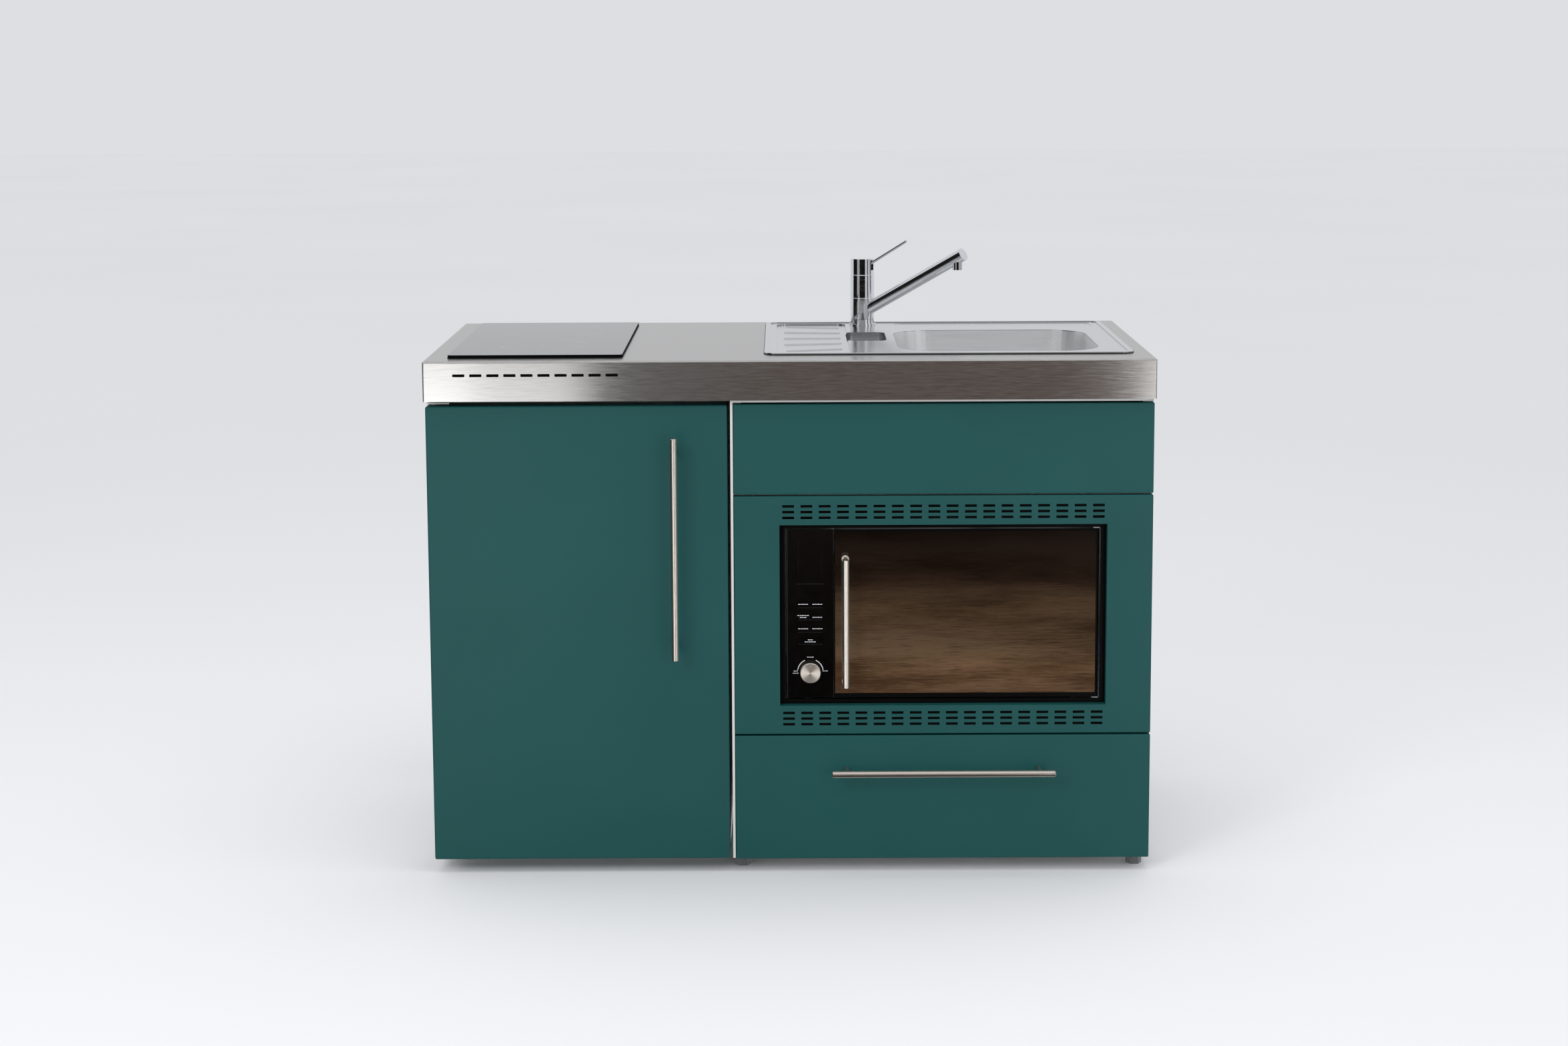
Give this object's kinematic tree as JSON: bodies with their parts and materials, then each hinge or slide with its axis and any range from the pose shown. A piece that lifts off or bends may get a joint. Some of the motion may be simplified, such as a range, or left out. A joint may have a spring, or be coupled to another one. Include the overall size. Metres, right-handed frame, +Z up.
{
  "type": "kitchenette unit with sink and hob",
  "caption": "Steel kitchenette with an inset sink and mixer tap, a glass hob, an under-worktop refrigerator, a built-in microwave oven and a pull-out drawer.",
  "frame": {"origin": "on the floor, midway between the wall plane and the front of the handles, in the middle of the unit's width", "axes": "+X to the right seen from the front, +Y towards the wall, +Z up"},
  "size_m": [1.2, 0.629, 1.0259],
  "materials": {
    "brushed_stainless": "brushed",
    "bar_stainless": "brushed",
    "galvanised_steel": "galvanised",
    "carcass_paint": "satin",
    "teal_paint": "satin",
    "drawer_paint": "satin",
    "white_enamel": "gloss",
    "feet_plastic": "matte",
    "hob_glass": "polished",
    "heater_ceramic": "matte",
    "chrome": "polished",
    "pipe_plastic": "matte",
    "foam": "matte",
    "liner_plastic": "satin",
    "dial_plastic": "satin",
    "clear_plastic": "gloss",
    "shelf_glass": "polished",
    "icebox_aluminium": "satin",
    "compressor_paint": "satin",
    "gasket_rubber": "matte",
    "black_plastic": "satin",
    "electrics": "mixed",
    "door_glass": "gloss",
    "turned_metal": "turned",
    "turntable_glass": "polished",
    "roller_plastic": "matte"
  },
  "bodies": {
    "unit": {"worktop": "brushed_stainless", "worktop_rails": "galvanised_steel", "cabinet_shell": "carcass_paint", "microwave_shelf": "galvanised_steel", "sink_front": "teal_paint", "microwave_surround": "teal_paint", "levelling_feet": "feet_plastic", "hob_glass": "hob_glass", "hob_tray": "galvanised_steel", "hob_heaters": "heater_ceramic", "sink": "brushed_stainless", "sink_waste": "chrome", "waste_pipes": "pipe_plastic", "tap_body": "chrome", "fridge_shell": "white_enamel", "fridge_insulation": "foam", "fridge_liner": "liner_plastic", "compressor": "compressor_paint", "condenser": "compressor_paint", "fridge_hinges": "white_enamel", "fridge_shelves": "shelf_glass", "crisper": "clear_plastic", "icebox": "icebox_aluminium", "thermostat_housing": "liner_plastic", "microwave_casing": "galvanised_steel", "microwave_cavity": "white_enamel", "microwave_trim": "black_plastic", "control_panel": "black_plastic", "microwave_electrics": "electrics", "runner_outer": "galvanised_steel"},
    "fridge_door": {"fridge_door_panel": "teal_paint", "fridge_door_liner": "liner_plastic", "door_gasket": "gasket_rubber", "fridge_handle": "bar_stainless", "door_racks": "clear_plastic"},
    "icebox_flap": {"icebox_flap": "liner_plastic"},
    "thermostat_dial": {"thermostat_dial": "dial_plastic"},
    "microwave_door": {"microwave_door": "black_plastic", "microwave_door_glass": "door_glass", "microwave_handle": "bar_stainless"},
    "microwave_knob": {"microwave_knob": "turned_metal"},
    "turntable": {"turntable_plate": "turntable_glass"},
    "roller_ring": {"roller_ring": "roller_plastic"},
    "cooling_fan": {"cooling_fan": "black_plastic"},
    "drawer": {"drawer_front": "teal_paint", "drawer_box": "drawer_paint", "drawer_handle": "bar_stainless", "runner_inner": "galvanised_steel"},
    "runner_middle": {"runner_middle": "galvanised_steel"},
    "spout": {"spout": "chrome"},
    "tap_cap": {"tap_cap": "chrome"},
    "lever": {"lever_pin": "chrome"},
    "waste_strainer": {"waste_strainer": "chrome"},
    "button_left_top": {"button_left_top": "black_plastic"},
    "button_right_top": {"button_right_top": "black_plastic"},
    "button_left_middle": {"button_left_middle": "black_plastic"},
    "button_right_middle": {"button_right_middle": "black_plastic"},
    "button_left_bottom": {"button_left_bottom": "black_plastic"},
    "button_right_bottom": {"button_right_bottom": "black_plastic"},
    "button_start": {"button_start": "black_plastic"}
  },
  "joints": [
    {"name": "fridge_door_hinge", "type": "hinge", "parent": "unit", "child": "fridge_door", "pos_m": [-0.586, -0.2495, 0.4], "axis": [0, 0, -1], "range_deg": [0, 110]},
    {"name": "icebox_flap_hinge", "type": "hinge", "parent": "unit", "child": "icebox_flap", "pos_m": [-0.3505, -0.0775, 0.7434], "axis": [-1, 0, 0], "range_deg": [0, 80]},
    {"name": "thermostat_turn", "type": "hinge", "parent": "unit", "child": "thermostat_dial", "pos_m": [-0.1763, -0.0505, 0.5477], "axis": [-1, 0, 0], "range_deg": [0, 300]},
    {"name": "microwave_door_hinge", "type": "hinge", "parent": "unit", "child": "microwave_door", "pos_m": [0.5074, -0.2535, 0.43725], "axis": [0, 0, 1], "range_deg": [0, 100]},
    {"name": "microwave_knob_turn", "type": "hinge", "parent": "unit", "child": "microwave_knob", "pos_m": [0.0324, -0.2655, 0.33925], "axis": [0, -1, 0], "continuous": true},
    {"name": "turntable_spin", "type": "hinge", "parent": "unit", "child": "turntable", "pos_m": [0.2854, -0.057, 0.336], "axis": [0, 0, 1], "continuous": true},
    {"name": "roller_ring_spin", "type": "hinge", "parent": "unit", "child": "roller_ring", "pos_m": [0.2854, -0.057, 0.327], "axis": [0, 0, 1], "continuous": true},
    {"name": "cooling_fan_spin", "type": "hinge", "parent": "unit", "child": "cooling_fan", "pos_m": [0.0509, 0.1175, 0.46275], "axis": [0, -1, 0], "continuous": true},
    {"name": "drawer_slide", "type": "slide", "parent": "unit", "child": "drawer", "axis": [0, -1, 0], "range_m": [0, 0.4]},
    {"name": "runner_middle_slide", "type": "slide", "parent": "unit", "child": "runner_middle", "axis": [0, -1, 0], "range_m": [0, 0.2]},
    {"name": "spout_swivel", "type": "hinge", "parent": "unit", "child": "spout", "pos_m": [0.134, 0.2395, 0.895], "axis": [0, 0, -1], "range_deg": [-35, 145]},
    {"name": "tap_cap_turn", "type": "hinge", "parent": "unit", "child": "tap_cap", "pos_m": [0.134, 0.2395, 0.97], "axis": [0, 0, 1], "range_deg": [-45, 45]},
    {"name": "lever_tilt", "type": "hinge", "parent": "tap_cap", "child": "lever", "pos_m": [0.134, 0.2395, 0.9698], "axis": [0.5736, 0.8192, 0], "range_deg": [0, 20]},
    {"name": "strainer_lift", "type": "slide", "parent": "unit", "child": "waste_strainer", "axis": [0, 0, 1], "range_m": [0, 0.04]},
    {"name": "button_left_top_push", "type": "slide", "parent": "unit", "child": "button_left_top", "axis": [0, 1, 0], "range_m": [0, 0.0012], "stiffness_N_per_m": 600},
    {"name": "button_right_top_push", "type": "slide", "parent": "unit", "child": "button_right_top", "axis": [0, 1, 0], "range_m": [0, 0.0012], "stiffness_N_per_m": 600},
    {"name": "button_left_middle_push", "type": "slide", "parent": "unit", "child": "button_left_middle", "axis": [0, 1, 0], "range_m": [0, 0.0012], "stiffness_N_per_m": 600},
    {"name": "button_right_middle_push", "type": "slide", "parent": "unit", "child": "button_right_middle", "axis": [0, 1, 0], "range_m": [0, 0.0012], "stiffness_N_per_m": 600},
    {"name": "button_left_bottom_push", "type": "slide", "parent": "unit", "child": "button_left_bottom", "axis": [0, 1, 0], "range_m": [0, 0.0012], "stiffness_N_per_m": 600},
    {"name": "button_right_bottom_push", "type": "slide", "parent": "unit", "child": "button_right_bottom", "axis": [0, 1, 0], "range_m": [0, 0.0012], "stiffness_N_per_m": 600},
    {"name": "button_start_push", "type": "slide", "parent": "unit", "child": "button_start", "axis": [0, 1, 0], "range_m": [0, 0.0012], "stiffness_N_per_m": 600}
  ],
  "couplings": [
    {"joint": "runner_middle_slide", "follows": "drawer_slide", "ratio": 0.5},
    {"joint": "roller_ring_spin", "follows": "turntable_spin", "ratio": 0.5}
  ]
}
